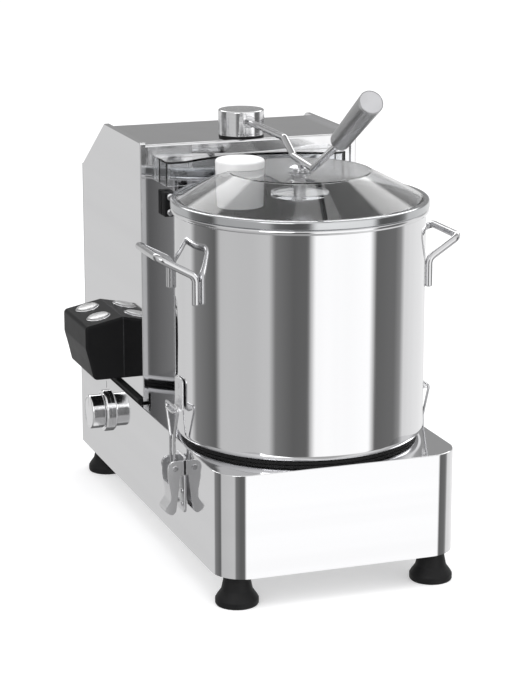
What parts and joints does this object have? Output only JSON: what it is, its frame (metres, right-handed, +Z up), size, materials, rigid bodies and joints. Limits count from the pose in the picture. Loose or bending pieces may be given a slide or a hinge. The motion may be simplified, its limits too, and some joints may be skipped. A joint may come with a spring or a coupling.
{
  "type": "bowl cutter",
  "caption": "Bench food cutter: a motor column behind a polished steel bowl with rotating blades, a clear lid locked by a swing arm, toggle latches and rubber feet.",
  "frame": {"origin": "on the bench under the middle of the machine's overall box", "axes": "+Z up; -Y towards the operator and the arm's grip, +Y to the column and cable gland; +X to the operator's right"},
  "size_m": [0.34, 0.6074, 0.532],
  "materials": {
    "casing_steel": "mirror polished stainless sheet",
    "bowl_steel": "polished stainless with a faint turned grain",
    "chrome": "bright turned and plated",
    "wire_steel": "bright drawn and pressed stainless",
    "blade_steel": "ground blade steel",
    "shaft_steel": "turned steel",
    "fastener_steel": "plated screws",
    "cast_aluminium": "cast and machined",
    "bronze": "turned bearing bronze",
    "black_rubber": "moulded, matt",
    "seal_grey": "smooth translucent silicone",
    "clear_plastic": "clear moulded polycarbonate",
    "white_plastic": "smooth moulded",
    "grip_grey": "fine satin texture",
    "black_plastic": "fine moulded texture",
    "button_silver": "satin silver dome"
  },
  "bodies": {
    "machine": {"base_housing": "casing_steel", "base_floor": "casing_steel", "column_cover": "casing_steel", "column_side_left": "casing_steel", "column_side_right": "casing_steel", "rear_cover": "casing_steel", "motor_mount": "casing_steel", "bowl": "bowl_steel", "lid_knob": "chrome", "selector_ring": "chrome", "button_bezels": "chrome", "bowl_handle_left": "wire_steel", "bowl_handle_right": "wire_steel", "bowl_catches": "wire_steel", "latch_plates": "wire_steel", "spindle_bearings": "shaft_steel", "panel_screws": "fastener_steel", "foot_fasteners": "fastener_steel", "latch_pins": "fastener_steel", "lid_knob_bolt": "fastener_steel", "bearing_housing": "cast_aluminium", "motor_body": "cast_aluminium", "post_bush": "bronze", "feet": "black_rubber", "column_gaskets": "black_rubber", "bowl_seat_ring": "black_rubber", "drive_belt": "black_rubber", "lid_rim_ring": "seal_grey", "lid_shell": "clear_plastic", "lid_disc": "clear_plastic", "lid_guard": "clear_plastic", "control_box": "black_plastic", "lid_switch": "black_plastic", "post_ring": "black_plastic", "cable_gland": "black_plastic", "contact_blocks": "black_plastic", "selector_switch": "black_plastic", "motor_fan_cover": "black_plastic", "run_capacitor": "black_plastic"},
    "arm": {"post_shaft": "shaft_steel", "post_circlip": "fastener_steel", "post_cap": "chrome", "arm_bar": "wire_steel", "arm_grip": "grip_grey"},
    "spindle": {"spindle_shaft": "shaft_steel", "spindle_pulley": "cast_aluminium", "blade_hub": "cast_aluminium", "lower_blade": "blade_steel", "upper_blade": "blade_steel"},
    "motor_shaft": {"motor_rotor": "shaft_steel", "motor_pulley": "cast_aluminium"},
    "stop_button": {"stop_button": "button_silver"},
    "start_button": {"start_button": "button_silver"},
    "selector": {"selector_knob": "chrome", "selector_spindle": "shaft_steel"},
    "feed_plug": {"feed_plug": "white_plastic"},
    "left_lever": {"latch_lever_left": "wire_steel"},
    "right_lever": {"latch_lever_right": "wire_steel"},
    "left_bail": {"latch_bail_left": "wire_steel"},
    "right_bail": {"latch_bail_right": "wire_steel"}
  },
  "joints": [
    {"name": "arm_swing", "type": "hinge", "parent": "machine", "child": "arm", "pos_m": [0, 0.07771, 0.451], "axis": [0, 0, 1], "range_deg": [0, 100]},
    {"name": "spindle_spin", "type": "hinge", "parent": "machine", "child": "spindle", "pos_m": [0, -0.10659, 0.1485], "axis": [0, 0, 1], "continuous": true},
    {"name": "motor_spin", "type": "hinge", "parent": "machine", "child": "motor_shaft", "pos_m": [0, 0.17771, 0.055], "axis": [0, 0, 1], "continuous": true},
    {"name": "selector_turn", "type": "hinge", "parent": "machine", "child": "selector", "pos_m": [-0.132, 0.17671, 0.101], "axis": [1, 0, 0], "range_deg": [0, 270]},
    {"name": "plug_lift", "type": "slide", "parent": "machine", "child": "feed_plug", "axis": [0, 0, 1], "range_m": [0, 0.06]},
    {"name": "stop_press", "type": "slide", "parent": "machine", "child": "stop_button", "axis": [0.2017, 0, -0.9795], "range_m": [0, 0.0025], "stiffness_N_per_m": 400, "springref_m": -0.001},
    {"name": "start_press", "type": "slide", "parent": "machine", "child": "start_button", "axis": [0.2017, 0, -0.9795], "range_m": [0, 0.0025], "stiffness_N_per_m": 400, "springref_m": -0.001},
    {"name": "left_latch_open", "type": "hinge", "parent": "machine", "child": "left_lever", "pos_m": [-0.1425, -0.10659, 0.1187], "axis": [0, 1, 0], "range_deg": [0, 95]},
    {"name": "left_bail_turn", "type": "hinge", "parent": "left_lever", "child": "left_bail", "pos_m": [-0.1415, -0.10659, 0.1057], "axis": [0, 1, 0], "range_deg": [-95, 0]},
    {"name": "right_latch_open", "type": "hinge", "parent": "machine", "child": "right_lever", "pos_m": [0.1425, -0.10659, 0.1187], "axis": [0, -1, 0], "range_deg": [0, 95]},
    {"name": "right_bail_turn", "type": "hinge", "parent": "right_lever", "child": "right_bail", "pos_m": [0.1415, -0.10659, 0.1057], "axis": [0, -1, 0], "range_deg": [-95, 0]}
  ],
  "couplings": [
    {"joint": "motor_spin", "follows": "spindle_spin", "ratio": 2},
    {"joint": "left_bail_turn", "follows": "left_latch_open", "ratio": -1},
    {"joint": "right_bail_turn", "follows": "right_latch_open", "ratio": -1}
  ]
}
